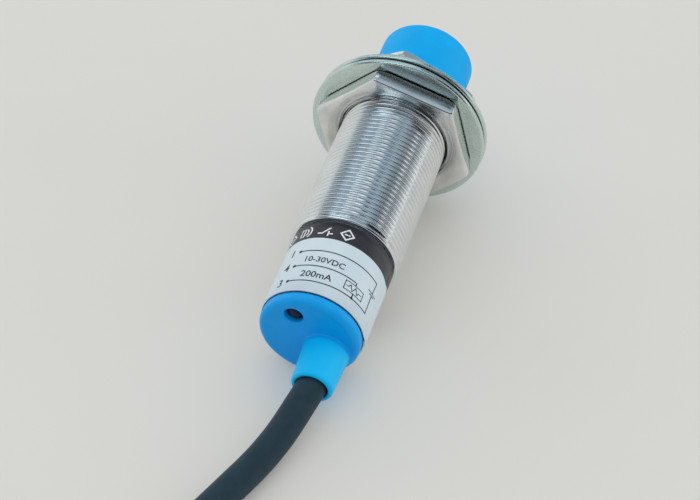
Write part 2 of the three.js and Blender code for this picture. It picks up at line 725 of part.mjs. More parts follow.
/** The black outer jacket, a tube with room for three wires. */
function jacket(path) {
  return piece('cable_jacket', swept(path, CABLE_RADIUS, 16, 22, CABLE_HOLE_RADIUS, 10), finish(0x23303a, 0.55));
}

/** Points along one wire while it is inside the jacket. */
function wirePointsInside(path, angle) {
  const count = 14;
  const frames = path.computeFrenetFrames(count, false);
  const points = [];
  for (let i = 0; i <= count; i += 1) {
    const point = path.getPointAt(i / count);
    point.addScaledVector(frames.normals[i], WIRE_PITCH_RADIUS * Math.cos(angle));
    point.addScaledVector(frames.binormals[i], WIRE_PITCH_RADIUS * Math.sin(angle));
    points.push(point);
  }
  return points;
}

/** One insulated wire and its tinned end, from the board to the free end of the cable. */
function wire(colourName, path, angle, boardY, freeEnd, material) {
  const under = -(BOARD_THICKNESS / 2 + WIRE_RADIUS + PART_GAP);
  const inside = wirePointsInside(path, angle);
  const curve = curveThrough([
    inModel(BOARD_REAR + SOLDER_PAD, boardY, under),
    inModel(BOARD_REAR + SOLDER_PAD - 2, boardY, under - 0.1),
    ...inside,
    ...freeEnd.slice(0, -1),
  ]);
  const insulation = solid(swept(curve, WIRE_RADIUS, 8, 26));
  const [corner, tip] = freeEnd.slice(-2);
  const back = corner.clone().sub(tip).normalize().multiplyScalar(STRIP_OVERLAP);
  const end = new THREE.LineCurve3(corner.clone().add(back), corner);
  const socket = new THREE.LineCurve3(end.v1.clone(), corner.clone().sub(back));
  const pocket = solid(swept(socket, CONDUCTOR_RADIUS + LEAD_END_GAP, 8, 1));
  const core = new THREE.LineCurve3(corner.clone().addScaledVector(back, 0.9), tip);
  return [
    piece(`wire_${colourName}`, geometryOf(insulation.subtract(pocket)), material),
    piece(`conductor_${colourName}`, swept(core, CONDUCTOR_RADIUS, 8, 1), tinned()),
  ];
}

/** The three wires, fanned out where they leave the jacket. */
function wires(path) {
  const end = path.getPointAt(1);
  const ahead = path.getTangentAt(1).setZ(0).normalize();
  const left = new THREE.Vector3(-ahead.y, ahead.x, 0);
  const freeEnd = (spread, lift) => {
    const at = (distance, aside, height) => end.clone()
      .addScaledVector(ahead, distance)
      .addScaledVector(left, aside)
      .setZ(FLOOR + height);
    return [
      at(2.6, spread * 0.45, lift),
      at(5.0, spread, WIRE_RADIUS + 0.25),
      at(7.0, spread * 1.4, WIRE_RADIUS + 0.05),
      at(10.5, spread * 2.1, WIRE_RADIUS + 0.05),
    ];
  };
  const angle = (degrees) => THREE.MathUtils.degToRad(degrees);
  return [
    ...wire('brown', path, angle(210), -0.9, freeEnd(-2.4, 1.8), finish(0x6b3f24, 0.5)),
    ...wire('blue', path, angle(90), -2.85, freeEnd(0, 2.8), finish(0x1c5fb4, 0.5)),
    ...wire('black', path, angle(330), -4.8, freeEnd(2.4, 1.8), finish(0x1a1b1d, 0.5)),
  ];
}

// ---- Assembly -----------------------------------------------------------------------------

const sensor = new THREE.Group();
sensor.rotation.y = -TILT;
sensor.position.copy(inModel(0, 0, 0));
sensor.add(
  barrel(),
  label(),
  nose(),
  ferriteCore(),
  bobbin(),
  winding(),
  coilLead('coil_lead_start', 1),
  coilLead('coil_lead_finish', -1),
  nut('rear_nut', REAR_NUT_STATION, REAR_NUT_TURN),
  washer('rear_washer', REAR_WASHER_STATION),
  washer('front_washer', FRONT_WASHER_STATION),
  nut('front_nut', FRONT_NUT_STATION, FRONT_NUT_TURN),
  rearCap(),
  lampLens(),
  lampLeg('led_leg_anode', 1),
  lampLeg('led_leg_cathode', -1),
  resinPlug(),
  board(),
  ...components(),
);

const centreLine = cablePath();
const model = new THREE.Group();
model.add(sensor, jacket(centreLine), ...wires(centreLine));

export default model;
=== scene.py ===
"""The looks of an M18 inductive proximity sensor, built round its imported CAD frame.

Lengths are in millimetres until a mesh is made. A "station" is measured forward along the
barrel's axis from the barrel's rear end. An angle round the axis runs from the left side (+Y)
over the top. The row frame's origin is the centre of the sensing face.
"""

import json
import math

import bmesh
import bpy
import numpy as np
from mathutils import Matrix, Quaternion, Vector


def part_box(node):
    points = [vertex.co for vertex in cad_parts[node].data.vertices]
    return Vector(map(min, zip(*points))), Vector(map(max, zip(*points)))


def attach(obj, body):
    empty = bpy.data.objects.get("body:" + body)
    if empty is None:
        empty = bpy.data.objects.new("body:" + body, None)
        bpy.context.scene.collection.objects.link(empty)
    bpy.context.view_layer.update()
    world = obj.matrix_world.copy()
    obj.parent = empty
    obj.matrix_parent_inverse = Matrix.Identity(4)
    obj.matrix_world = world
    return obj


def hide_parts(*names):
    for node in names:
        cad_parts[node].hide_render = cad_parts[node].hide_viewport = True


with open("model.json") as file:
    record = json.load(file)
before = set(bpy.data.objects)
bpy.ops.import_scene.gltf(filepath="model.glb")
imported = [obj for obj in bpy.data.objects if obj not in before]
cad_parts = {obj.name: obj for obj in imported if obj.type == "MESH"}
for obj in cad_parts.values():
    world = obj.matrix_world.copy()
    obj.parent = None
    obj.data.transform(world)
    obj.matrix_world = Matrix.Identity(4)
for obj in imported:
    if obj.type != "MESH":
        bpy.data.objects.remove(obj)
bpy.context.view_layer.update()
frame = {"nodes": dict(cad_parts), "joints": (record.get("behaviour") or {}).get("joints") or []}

# ---- Sizes, the CAD source's own but for a few finer edges ----

MM = 0.001
NOSE_TIP = 65.1
NOSE_RADIUS = 8.18
THREAD_RADIUS = 9.0
PITCH = 1.0
THREAD_DEPTH = 0.613
THREAD_CLEARANCE = 0.16
THREAD_REAR = 15.95
THREAD_FRONT = 54.4
LABEL_REAR = 0.05
LABEL_FRONT = 15.05
LABEL_RADIUS = 8.3
LABEL_INSIDE = 8.15
LABEL_SEAT = 8.05
SHOULDER_REAR = 15.25
SHOULDER_EDGE = 0.3
BORE_RADIUS = 7.5
FRONT_BORE_RADIUS = 7.9
FRONT_BORE_STATION = 47.2
CAP_RADIUS = 8.07
CAP_FACE = -2.0
CAP_EDGE = 1.0
CAP_SEAM = -0.15
CAP_PLUG_RADIUS = 7.35
CAP_PLUG_FRONT = 4.6
BOOT_Y = -2.85
BOOT_Z = -2.1
BOOT_END = -9.6
BOOT_BASE_RADIUS = 3.68
BOOT_END_RADIUS = 3.26
BOOT_HOLE_RADIUS = 2.5
LED_Y = 2.0
LED_Z = 4.46
LED_HOLE_RADIUS = 1.5
LED_RADIUS = 1.38
LED_TIP = -1.6
LENS_CURVE = 2.6
LED_FLANGE_REAR = 4.8
LED_FLANGE_FRONT = 5.7
LED_FLANGE_RADIUS = 1.7
NUT_ACROSS_FLATS = 24.0
NUT_THICKNESS = 2.8
REAR_NUT_STATION = 42.8
REAR_NUT_TURN = 19.4
FRONT_NUT_TURN = 32.0
REAR_WASHER_STATION = 45.9
FRONT_WASHER_STATION = 47.35
FRONT_NUT_STATION = 48.45
NUT_CHAMFER_RADIUS = 13.1
NUT_CHAMFER_SLOPE = math.tan(math.radians(30))
COUNTERSINK_RADIUS = 11.25
COUNTERSINK_BOTTOM_RADIUS = 9.55
COUNTERSINK_DEPTH = 0.55
RELIEF_DEPTH = 1.3
LEAD_IN_RADIUS = 9.42
LEAD_IN_DEPTH = 0.4
WASHER_RADIUS = 15.0
WASHER_HOLE_RADIUS = 9.3
WASHER_THICKNESS = 1.0
CABLE_RADIUS = 2.35
CABLE_HOLE_RADIUS = 1.66
WIRE_RADIUS = 0.65
WIRE_PITCH_RADIUS = 0.82
CONDUCTOR_RADIUS = 0.32
BOARD_THICKNESS = 1.0

AXIS = Vector(frame["joints"][0]["axis"])
TILT = math.atan2(AXIS.z, AXIS.x)
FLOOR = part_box("rear_washer")[0].z / MM


def in_row(points):
    """Points of the sensor's own frame (station, left, up) in the row frame, in millimetres."""
    points = np.asarray(points, float)
    along = points[..., 0] - NOSE_TIP
    up = points[..., 2]
    return np.stack(
        [
            along * math.cos(TILT) - up * math.sin(TILT),
            points[..., 1],
            along * math.sin(TILT) + up * math.cos(TILT),
        ],
        axis=-1,
    )


def on_axis(station, radius, angle):
    """A point of the sensor's own frame from its station, its distance from the axis and its angle."""
    station, radius, angle = np.broadcast_arrays(station, radius, angle)
    return np.stack([station, radius * np.cos(angle), radius * np.sin(angle)], axis=-1)


# ---- Mesh helpers ----

MERGE_DISTANCE = 1e-8  # metres


class Builder:
    """Collects the corners and faces of one piece."""

    def __init__(self):
        self.points = []
        self.faces = []
        self.materials = []

    def add(self, points):
        """Adds corners and returns their numbers in the same arrangement."""
        points = np.asarray(points, float)
        start = len(self.points)
        self.points.extend(map(tuple, points.reshape(-1, 3)))
        return start + np.arange(points.size // 3).reshape(points.shape[:-1])

    def face(self, *corners, material=0):
        self.faces.append([int(c) for c in corners])
        self.materials.append(material)

    def bridge(self, first, second, closed=True, material=0):
        """Joins two rows of corners with faces. A row of one corner makes a fan."""
        count = max(len(first), len(second))
        last = count if closed else count - 1
        for i in range(last):
            k = (i + 1) % count
            if len(first) == 1:
                self.face(first[0], second[k], second[i], material=material)
            elif len(second) == 1:
                self.face(first[i], first[k], second[0], material=material)
            else:
                self.face(first[i], first[k], second[k], second[i], material=material)

    def loft(self, rows, ring=False):
        """Joins rows of corners in turn, and the last to the first if the loft is a ring."""
        for first, second in zip(rows, rows[1:] + rows[:1] if ring else rows[1:]):
            self.bridge(first, second)

    def make(self, name, materials, sharp=35):
        """The finished piece: smooth faces, and sharp edges where they bend by more than sharp."""
        mesh = bpy.data.meshes.new(name)
        mesh.from_pydata([tuple(c * MM for c in p) for p in self.points], [], self.faces)
        for material in materials:
            mesh.materials.append(material)
        mesh.polygons.foreach_set("material_index", self.materials)
        shape = bmesh.new()
        shape.from_mesh(mesh)
        bmesh.ops.remove_doubles(shape, verts=shape.verts, dist=MERGE_DISTANCE)
        bmesh.ops.dissolve_degenerate(shape, edges=shape.edges, dist=MERGE_DISTANCE)
        bmesh.ops.recalc_face_normals(shape, faces=shape.faces)
        shape.to_mesh(mesh)
        shape.free()
        mesh.polygons.foreach_set("use_smooth", [True] * len(mesh.polygons))
        if sharp is not None:
            mesh.set_sharp_from_angle(angle=math.radians(sharp))
        piece = bpy.data.objects.new(name, mesh)
        bpy.context.scene.collection.objects.link(piece)
        return piece


def fillet(radius, station, size, start, end, steps=8):
    """A quarter circle of profile corners about (radius, station), between two angles in degrees."""
    corners = []
    for i in range(steps + 1):
        angle = math.radians(start + (end - start) * i / steps)
        corners.append((radius + size * math.cos(angle), station + size * math.sin(angle)))
    return corners


def turned_rows(builder, profile, angles, y=0.0, z=0.0):
    """Rows of corners from a profile of (radius, station), turned about the line at (y, z)."""
    rows = []
    for radius, station in profile:
        ring = on_axis(station, radius, angles if radius > 1e-6 else angles[:1])
        rows.append(builder.add(in_row(ring + np.array([0.0, y, z]))))
    return rows


def even_angles(count):
    return 2 * math.pi * np.arange(count) / count


def settle(piece, body, slot, *nodes):
    """Fixes a finished piece to its body and hides the CAD nodes it stands for. The slot is not used.
    """
    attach(piece, body)
    if nodes:
        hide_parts(*nodes)
    return piece


# ---- Material helpers ----


def tone(red, green, blue):
    """A colour given as 0 to 255 on a screen, as the linear values that shaders take."""
    values = []
    for channel in (red, green, blue):
        share = channel / 255
        linear = share / 12.92 if share <= 0.04045 else ((share + 0.055) / 1.055) ** 2.4
        values.append(linear)
    return (*values, 1.0)


class Nodes:
    """A node tree, with short calls that add nodes and fill their inputs."""

    def __init__(self, tree):
        self.tree = tree

    def put(self, socket, value):
        """Links an output to an input, or gives the input a fixed value."""
        if isinstance(value, bpy.types.NodeSocket):
            self.tree.links.new(value, socket)
        elif socket.type == "RGBA":
            socket.default_value = (*value[:3], 1.0)
        else:
            socket.default_value = value

    def node(self, kind, inputs=None, **settings):
        made = self.tree.nodes.new(kind)
        for key, value in settings.items():
            setattr(made, key, value)
        for key, value in (inputs or {}).items():
            self.put(made.inputs[key], value)
        return made

    def mix(self, mask, first, second):
        """One colour where a mask is 0 and another where it is 1."""
        inputs = {0: mask, 6: first, 7: second}
        return self.node("ShaderNodeMix", inputs, data_type="RGBA").outputs[2]

    def along(self, place, way):
        """How far a place or a direction lies along a way."""
        inputs = {0: place, 1: way}
        return self.node("ShaderNodeVectorMath", inputs, operation="DOT_PRODUCT").outputs["Value"]


class Finish(Nodes):
    """One node material, with a few short calls for the nodes that every finish uses."""

    def __init__(self, name, roughness=0.5, metallic=0.0):
        self.material = bpy.data.materials.new(name)
        self.material.use_nodes = True
        super().__init__(self.material.node_tree)
        self.shader = self.tree.nodes["Principled BSDF"]
        self.set(Roughness=roughness, Metallic=metallic)
        self.place = self.node("ShaderNodeTexCoord").outputs["Object"]

    def set(self, **inputs):
        for key, value in inputs.items():
            self.put(self.shader.inputs[key.replace("_", " ")], value)

    def noise(self, size, detail=2.0, rough=0.5):
        """Soft noise with clouds of about this size in millimetres, from 0 to 1."""
        inputs = {
            "Vector": self.place,
            "Scale": 1.0 / (size * MM),
            "Detail": detail,
            "Roughness": rough,
        }
        return self.node("ShaderNodeTexNoise", inputs).outputs["Fac"]

    def range(self, value, low, high, from_low=0.3, from_high=0.7):
        inputs = {
            "Value": value,
            "From Min": from_low,
            "From Max": from_high,
            "To Min": low,
            "To Max": high,
        }
        return self.node("ShaderNodeMapRange", inputs).outputs["Result"]

    def ramp(self, value, *stops):
        """A colour from a value, with stops of (place, colour)."""
        made = self.node("ShaderNodeValToRGB", {"Fac": value})
        elements = made.color_ramp.elements
        while len(elements) < len(stops):
            elements.new(0.5)
        for element, (place, color) in zip(elements, stops):
            element.position = place
            element.color = color
        return made.outputs["Color"]

    def bump(self, height, depth, normal=None):
        """Relief of this depth in millimetres, on top of another one if it is given."""
        inputs = {"Height": height, "Distance": depth * MM}
        if normal:
            inputs["Normal"] = normal
        return self.node("ShaderNodeBump", inputs).outputs["Normal"]


def plated(name, low, high, roughness, wave=0.006, grain=0.0012):
    """Bright plated metal: faint clouds in its colour and polish, and a slightly wavy surface."""
    finish = Finish(name, metallic=1.0)
    cloud = finish.noise(3.5, 3.0)
    fine = finish.noise(0.22, 2.0)
    finish.set(
        Base_Color=finish.ramp(cloud, (0.3, tone(*low)), (0.7, tone(*high))),
        Roughness=finish.range(fine, roughness * 0.75, roughness * 1.3),
        Normal=finish.bump(fine, grain, finish.bump(cloud, wave)),
    )
    return finish.material


def moulded_finish(name, low, high, roughness, relief=0.004, soft=0.0, shine=0.5):
    """Moulded plastic: faint mottling in its colour, fine texture and a little light in its skin."""
    finish = Finish(name)
    cloud = finish.noise(2.4, 3.0)
    fine = finish.noise(0.12, 2.0)
    finish.set(
        Base_Color=finish.ramp(cloud, (0.3, tone(*low)), (0.7, tone(*high))),
        Roughness=finish.range(fine, roughness * 0.85, roughness * 1.15),
        Normal=finish.bump(fine, relief),
        Specular_IOR_Level=shine,
        Subsurface_Weight=soft,
        Subsurface_Radius=(0.0006, 0.0008, 0.0012),
    )
    return finish


def moulded(*looks, **more):
    return moulded_finish(*looks, **more).material


# ---- Finishes ----

barrel_metal = plated("barrel_plating", (230, 232, 234), (240, 242, 243), 0.1)
nut_metal = plated("nut_plating", (218, 218, 217), (236, 236, 235), 0.15, wave=0.01, grain=0.002)
washer_metal = plated("washer_plating", (205, 219, 215), (214, 228, 224), 0.24)
nose_plastic = moulded("nose_plastic", (0, 168, 242), (0, 176, 247), 0.5, soft=0.1, shine=0.1)
jacket_plastic = moulded("jacket_plastic", (30, 53, 65), (37, 60, 72), 0.5, relief=0.008, shine=0.2)
tinned_metal = plated("tinned_copper", (186, 186, 180), (208, 208, 203), 0.3)


def cap_moulding():
    """The cap's blue plastic, with painted light on the boot: a paler blue there stands in for the
    brighter light it catches.
    """
    finish = moulded_finish("cap_plastic", (0, 158, 236), (0, 166, 242), 0.42, soft=0.1, shine=0.22)
    mottled_blue = finish.shader.inputs["Base Color"].links[0].from_socket
    face = (CAP_FACE - NOSE_TIP) * MM
    along = finish.along(finish.place, AXIS)
    # Painted light: behind the cap's face the boot turns a paler blue, for the light that falls on its
    # top.
    share = finish.range(along, 1.0, 0.0, face - 0.9 * MM, face - 0.2 * MM)
    finish.set(Base_Color=finish.mix(share, mottled_blue, tone(0, 190, 252)))
    return finish.material


def label_film():
    """White printed film, with a faint unevenness where it lies on the metal."""
    finish = Finish("label_film", roughness=0.36)
    cloud = finish.noise(6.0, 2.0)
    finish.set(
        Base_Color=finish.ramp(cloud, (0.3, tone(203, 219, 229)), (0.7, tone(210, 225, 234))),
        Normal=finish.bump(finish.noise(1.6, 2.0), 0.006),
        Coat_Weight=0.25,
        Coat_Roughness=0.12,
    )
    return finish.material


def ink(name, low, high, roughness=0.4):
    """Printing ink, a little uneven where it is thin."""
    finish = Finish(name, roughness=roughness)
    cloud = finish.noise(0.3, 3.0)
    finish.set(Base_Color=finish.ramp(cloud, (0.35, tone(*low)), (0.65, tone(*high))))
    return finish.material


def lamp_epoxy():
    """The lamp's dark tinted epoxy, with painted glints: pale specks in its colour stand in for the
    reflector shining through.
    """
    finish = Finish("lamp_epoxy", roughness=0.3)
    tint_and_glint = finish.noise(0.7, 3.0, rough=0.7)
    # Painted glints: the palest stop makes light specks for the reflector's sparkle seen through the
    # epoxy.
    dark, tinted, painted_glint = tone(8, 18, 58), tone(26, 34, 80), tone(110, 112, 150)
    finish.set(
        Base_Color=finish.ramp(tint_and_glint, (0.48, dark), (0.62, tinted), (0.72, painted_glint)),
        Specular_IOR_Level=0.2,
    )
    return finish.material


cap_plastic = cap_moulding()
film_white = label_film()
ink_black = ink("ink_black", (38, 37, 42), (50, 48, 54), 0.34)
ink_grey = ink("ink_grey", (16, 24, 36), (30, 38, 50))
ink_white = ink("ink_white", (222, 226, 230), (236, 239, 242))
lamp_purple = lamp_epoxy()
wire_finishes = {
    "brown": moulded("wire_brown", (96, 54, 30), (110, 64, 38), 0.42),
    "blue": moulded("wire_blue", (20, 78, 164), (28, 90, 180), 0.42),
    "black": moulded("wire_black", (22, 23, 25), (32, 33, 35), 0.42),
}

RESISTORS = ("distance_resistor", "feedback_resistor", "lamp_resistor", "load_resistor")
CAD_FINISHES = (  # of the CAD nodes that are carried over
    (tinned_metal, ("led_leg_anode", "led_leg_cathode")),
    (
        plated("enamelled_copper", (176, 92, 44), (200, 112, 58), 0.3),
        ("coil_winding", "coil_lead_start", "coil_lead_finish"),
    ),
    (moulded("ferrite_grey", (46, 47, 50), (64, 65, 68), 0.6, relief=0.02), ("ferrite_core",)),
    (moulded("bobbin_plastic", (222, 216, 198), (232, 227, 212), 0.5), ("coil_bobbin",)),
    (moulded("board_mask", (20, 92, 48), (32, 110, 60), 0.4), ("circuit_board",)),
    (
        moulded("package_black", (24, 25, 27), (36, 37, 39), 0.55),
        ("comparator_chip", "oscillator_transistor", "output_transistor", *RESISTORS),
    ),
    (
        moulded("ceramic_tan", (172, 146, 104), (190, 164, 122), 0.6),
        ("tuning_capacitor", "filter_capacitor", "supply_capacitor"),
    ),
    (moulded("diode_glass", (160, 76, 36), (184, 96, 52), 0.18), ("polarity_diode", "zener_diode")),
    (moulded("potting_black", (34, 35, 40), (46, 47, 52), 0.3), ("potting_resin",)),
)
for node_finish, node_names in CAD_FINISHES:
    for node_name in node_names:
        node_mesh = frame["nodes"][node_name].data
        node_mesh.materials.clear()
        node_mesh.materials.append(node_finish)

# ---- Screw threads ----

ROWS_PER_PITCH = 16
ROOT_FLAT = 0.16  # shares of the pitch
CREST_FLAT = 0.2


def thread_shape(phase):
    """How far out a thread's surface is, from 0 at its root to 1 at its crest."""
    height = 1 - np.abs(2 * phase - 1)
    share = np.clip((height - ROOT_FLAT) / (1 - ROOT_FLAT - CREST_FLAT), 0, 1)
    rounded = share * share * (3 - 2 * share)
    return (share + rounded) / 2


def thread_rows(builder, angles, start, end, radius_at):
    """A screw surface between two stations. Its first and last rows are level rings.

    Rows follow the helix, so the last column joins the first one a whole pitch further on.
    """
    share = (angles - angles[0]) / (2 * math.pi)
    count = int(math.ceil((end - start) / PITCH * ROWS_PER_PITCH)) + ROWS_PER_PITCH
    rows = []
    for j in range(count + 1):
        station = np.clip(start + PITCH * (j / ROWS_PER_PITCH + share - 1), start, end)
        phase = (station / PITCH - angles / (2 * math.pi)) % 1.0
        rows.append(builder.add(in_row(on_axis(station, radius_at(phase, station), angles))))
    last = len(angles) - 1
    for j in range(count):
        builder.bridge(rows[j], rows[j + 1], closed=False)
        low = min(j + ROWS_PER_PITCH, count)
        high = min(j + 1 + ROWS_PER_PITCH, count)
        builder.face(rows[j][last], rows[low][0], rows[high][0], rows[j + 1][last])
    for j in range(ROWS_PER_PITCH):
        builder.face(rows[0][last], rows[j][0], rows[j + 1][0])
    return rows[0], rows[-1]


# ---- Barrel ----

BARREL_COLUMNS = 96
THREAD_RUN_IN = 0.5  # length over which the thread rises out of the shoulder


def make_barrel():
    """The barrel: label seat, bright rounded shoulder, rolled thread and stepped bore."""
    root = THREAD_RADIUS - THREAD_DEPTH
    edge = THREAD_RADIUS - SHOULDER_EDGE

    def radius_at(phase, station):
        run_in = np.clip((station - THREAD_REAR) / THREAD_RUN_IN, 0, 1)
        chamfer = root + np.clip(THREAD_FRONT - station, 0, 1)
        crest = root + THREAD_DEPTH * thread_shape(phase)
        blended = edge + (crest - edge) * run_in
        return np.minimum(blended, chamfer)

    builder = Builder()
    angles = even_angles(BARREL_COLUMNS)
    rear, front = thread_rows(builder, angles, THREAD_REAR, THREAD_FRONT, radius_at)
    outside = turned_rows(
        builder,
        [
            (BORE_RADIUS, 0.0),
            (LABEL_SEAT, 0.0),
            (LABEL_SEAT, SHOULDER_REAR),
            *fillet(edge, SHOULDER_REAR + SHOULDER_EDGE, SHOULDER_EDGE, -90, 90, 10),
        ],
        angles,
    )
    builder.loft([*outside, rear])
    inside = turned_rows(
        builder,
        [
            (FRONT_BORE_RADIUS, THREAD_FRONT),
            (FRONT_BORE_RADIUS, FRONT_BORE_STATION),
            (BORE_RADIUS, FRONT_BORE_STATION),
            (BORE_RADIUS, 0.0),
        ],
        angles,
    )
    builder.loft([front, *inside])
    return builder.make("barrel_shell", [barrel_metal], sharp=50)


# ---- Nose ----


def make_nose():
    """The blue nose: a deep moulded cup with a softened edge and a skirt inside the barrel."""
    inside = 7.15
    wall = 1.1
    edge = 0.45
    root_edge = 0.15
    gap = 0.12
    shoulder = THREAD_FRONT + gap
    skirt = FRONT_BORE_RADIUS - gap
    skirt_end = FRONT_BORE_STATION + 0.3
    builder = Builder()
    rows = turned_rows(
        builder,
        [
            (0, NOSE_TIP - wall),
            (inside, NOSE_TIP - wall),
            (inside, skirt_end),
            (skirt, skirt_end),
            (skirt, shoulder),
            *fillet(NOSE_RADIUS - root_edge, shoulder + root_edge, root_edge, -90, 0, 4),
            *fillet(NOSE_RADIUS - edge, NOSE_TIP - edge, edge, 0, 90, 10),
            (0, NOSE_TIP),
        ],
        even_angles(128),
    )
    builder.loft(rows)
    return builder.make("nose_cup", [nose_plastic])


# ---- Nuts and washers ----

NUT_RUN_OUT = 0.25  # length over which a nut's thread fades at each end


def make_nut(name, station, turn):
    """A thin hexagon nut: countersunk on its rear face, its corners chamfered on its front."""
    corner = math.radians(60)
    edge = math.radians(0.5)
    step = math.radians(2)
    bevel = 0.22
    blunt = 0.06
    base = np.array([-edge, 0.0, edge, *np.arange(step, corner - edge * 2, step)])
    angles = np.concatenate([base + k * corner for k in range(6)]) + math.radians(turn)
    local = (angles - math.radians(turn) + corner / 2) % corner - corner / 2
    hexagon = NUT_ACROSS_FLATS / 2 / np.cos(np.abs(local) - corner / 2)
    hexagon -= blunt * (np.abs(local) < edge / 2)
    groove = THREAD_RADIUS + THREAD_CLEARANCE
    low = station + RELIEF_DEPTH
    high = station + NUT_THICKNESS - LEAD_IN_DEPTH + 0.1

    def ring(offset, radius):
        return builder.add(in_row(on_axis(station + offset, radius, angles)))

    def radius_at(phase, place):
        near = np.minimum(place - low, high - place)
        fade = np.clip(near / NUT_RUN_OUT, 0, 1)
        return groove - THREAD_DEPTH * (1 - thread_shape(phase)) * fade

    def chamfered(inset):
        """Each column's place on the front chamfer, or on the flat where that comes first."""
        past = np.maximum(hexagon - inset - NUT_CHAMFER_RADIUS, 0)
        return NUT_THICKNESS - past * NUT_CHAMFER_SLOPE

    builder = Builder()
    first, last = thread_rows(builder, angles, low, high, radius_at)
    rows = [
        first,
        ring(RELIEF_DEPTH - 0.1, groove + 0.03),
        ring(COUNTERSINK_DEPTH + 0.05, COUNTERSINK_BOTTOM_RADIUS - 0.03),
        ring(COUNTERSINK_DEPTH, COUNTERSINK_BOTTOM_RADIUS + 0.05),
        ring(0.05, COUNTERSINK_RADIUS - 0.15),
        ring(0.012, COUNTERSINK_RADIUS),
        ring(0, COUNTERSINK_RADIUS + 0.15),
        ring(0, hexagon - bevel - 0.03),
        ring(0.01, hexagon - bevel),
        ring(bevel * 0.45, hexagon - bevel * 0.45),
        ring(bevel * 0.55, hexagon - bevel * 0.35),
        ring(bevel, hexagon - 0.02),
        ring(bevel + 0.05, hexagon),
        ring(chamfered(0) - 0.06, hexagon),
        ring(chamfered(0) - 0.02, hexagon - 0.02),
        ring(chamfered(blunt), hexagon - blunt),
        ring(NUT_THICKNESS, np.minimum(hexagon - blunt, NUT_CHAMFER_RADIUS)),
        ring(NUT_THICKNESS, np.minimum(hexagon - 0.2, NUT_CHAMFER_RADIUS - 0.1)),
        ring(NUT_THICKNESS, LEAD_IN_RADIUS),
        last,
    ]
    builder.loft(rows)
    return builder.make(name, [nut_metal], sharp=28)


def make_washer(name, station, aside):
    """A punched washer, both rims rolled over, lying a little off the axis within its play."""
    front = station + WASHER_THICKNESS
    inner, outer = 0.15, 0.32
    builder = Builder()
    profile = [
        *fillet(WASHER_HOLE_RADIUS + inner, front - inner, inner, 90, 180, 4),
        *fillet(WASHER_HOLE_RADIUS + inner, station + inner, inner, 180, 270, 4),
        *fillet(WASHER_RADIUS - outer, station + outer, outer, -90, 0, 8),
        *fillet(WASHER_RADIUS - outer, front - outer, outer, 0, 90, 8),
    ]
    builder.loft(turned_rows(builder, profile, even_angles(180), aside), ring=True)
    return builder.make(name, [washer_metal], sharp=50)


# ---- Label ----

LABEL_START = math.radians(-176)  # where the strip starts, under its own other end
LABEL_OVERLAP = math.radians(9)
LABEL_LIFT = 0.16  # of the end that lies on top
LABEL_EDGE = 0.05
BAND_REAR = 11.35
INK_LIFT = 0.012
LONGEST_INK_EDGE = 0.6  # longer edges are divided, to follow the label's curve


def make_label():
    """The label: one strip of film wrapped round the barrel until it overlaps itself."""
    count = 180
    angles = LABEL_START + (2 * math.pi + LABEL_OVERLAP) * np.arange(count + 1) / count
    past = np.clip((angles - LABEL_START - 2 * math.pi + LABEL_OVERLAP) / LABEL_OVERLAP, 0, 1)
    lift = LABEL_LIFT * past * past * (3 - 2 * past)
    between = (LABEL_REAR + LABEL_EDGE, 4.0, 8.0, BAND_REAR, 13.2, LABEL_FRONT - LABEL_EDGE)
    stations = [LABEL_REAR, *between, LABEL_FRONT]
    builder = Builder()
    outer, inner = [], []
    for station in stations:
        eased = LABEL_EDGE if station in (LABEL_REAR, LABEL_FRONT) else 0.0
        outer.append(builder.add(in_row(on_axis(station, LABEL_RADIUS - eased + lift, angles))))
        inner.append(builder.add(in_row(on_axis(station, LABEL_INSIDE + lift, angles))))
    for i in range(len(stations) - 1):
        printed = 1 if stations[i] >= BAND_REAR else 0
        builder.bridge(outer[i], outer[i + 1], closed=False, material=printed)
        builder.bridge(inner[i + 1], inner[i], closed=False)
    for end in (0, -1):
        builder.bridge(outer[end], inner[end], closed=False)
        for i in range(len(stations) - 1):
            builder.face(outer[i][end], outer[i + 1][end], inner[i + 1][end], inner[i][end])
    return builder.make("label_strip", [film_white, ink_black], sharp=50)


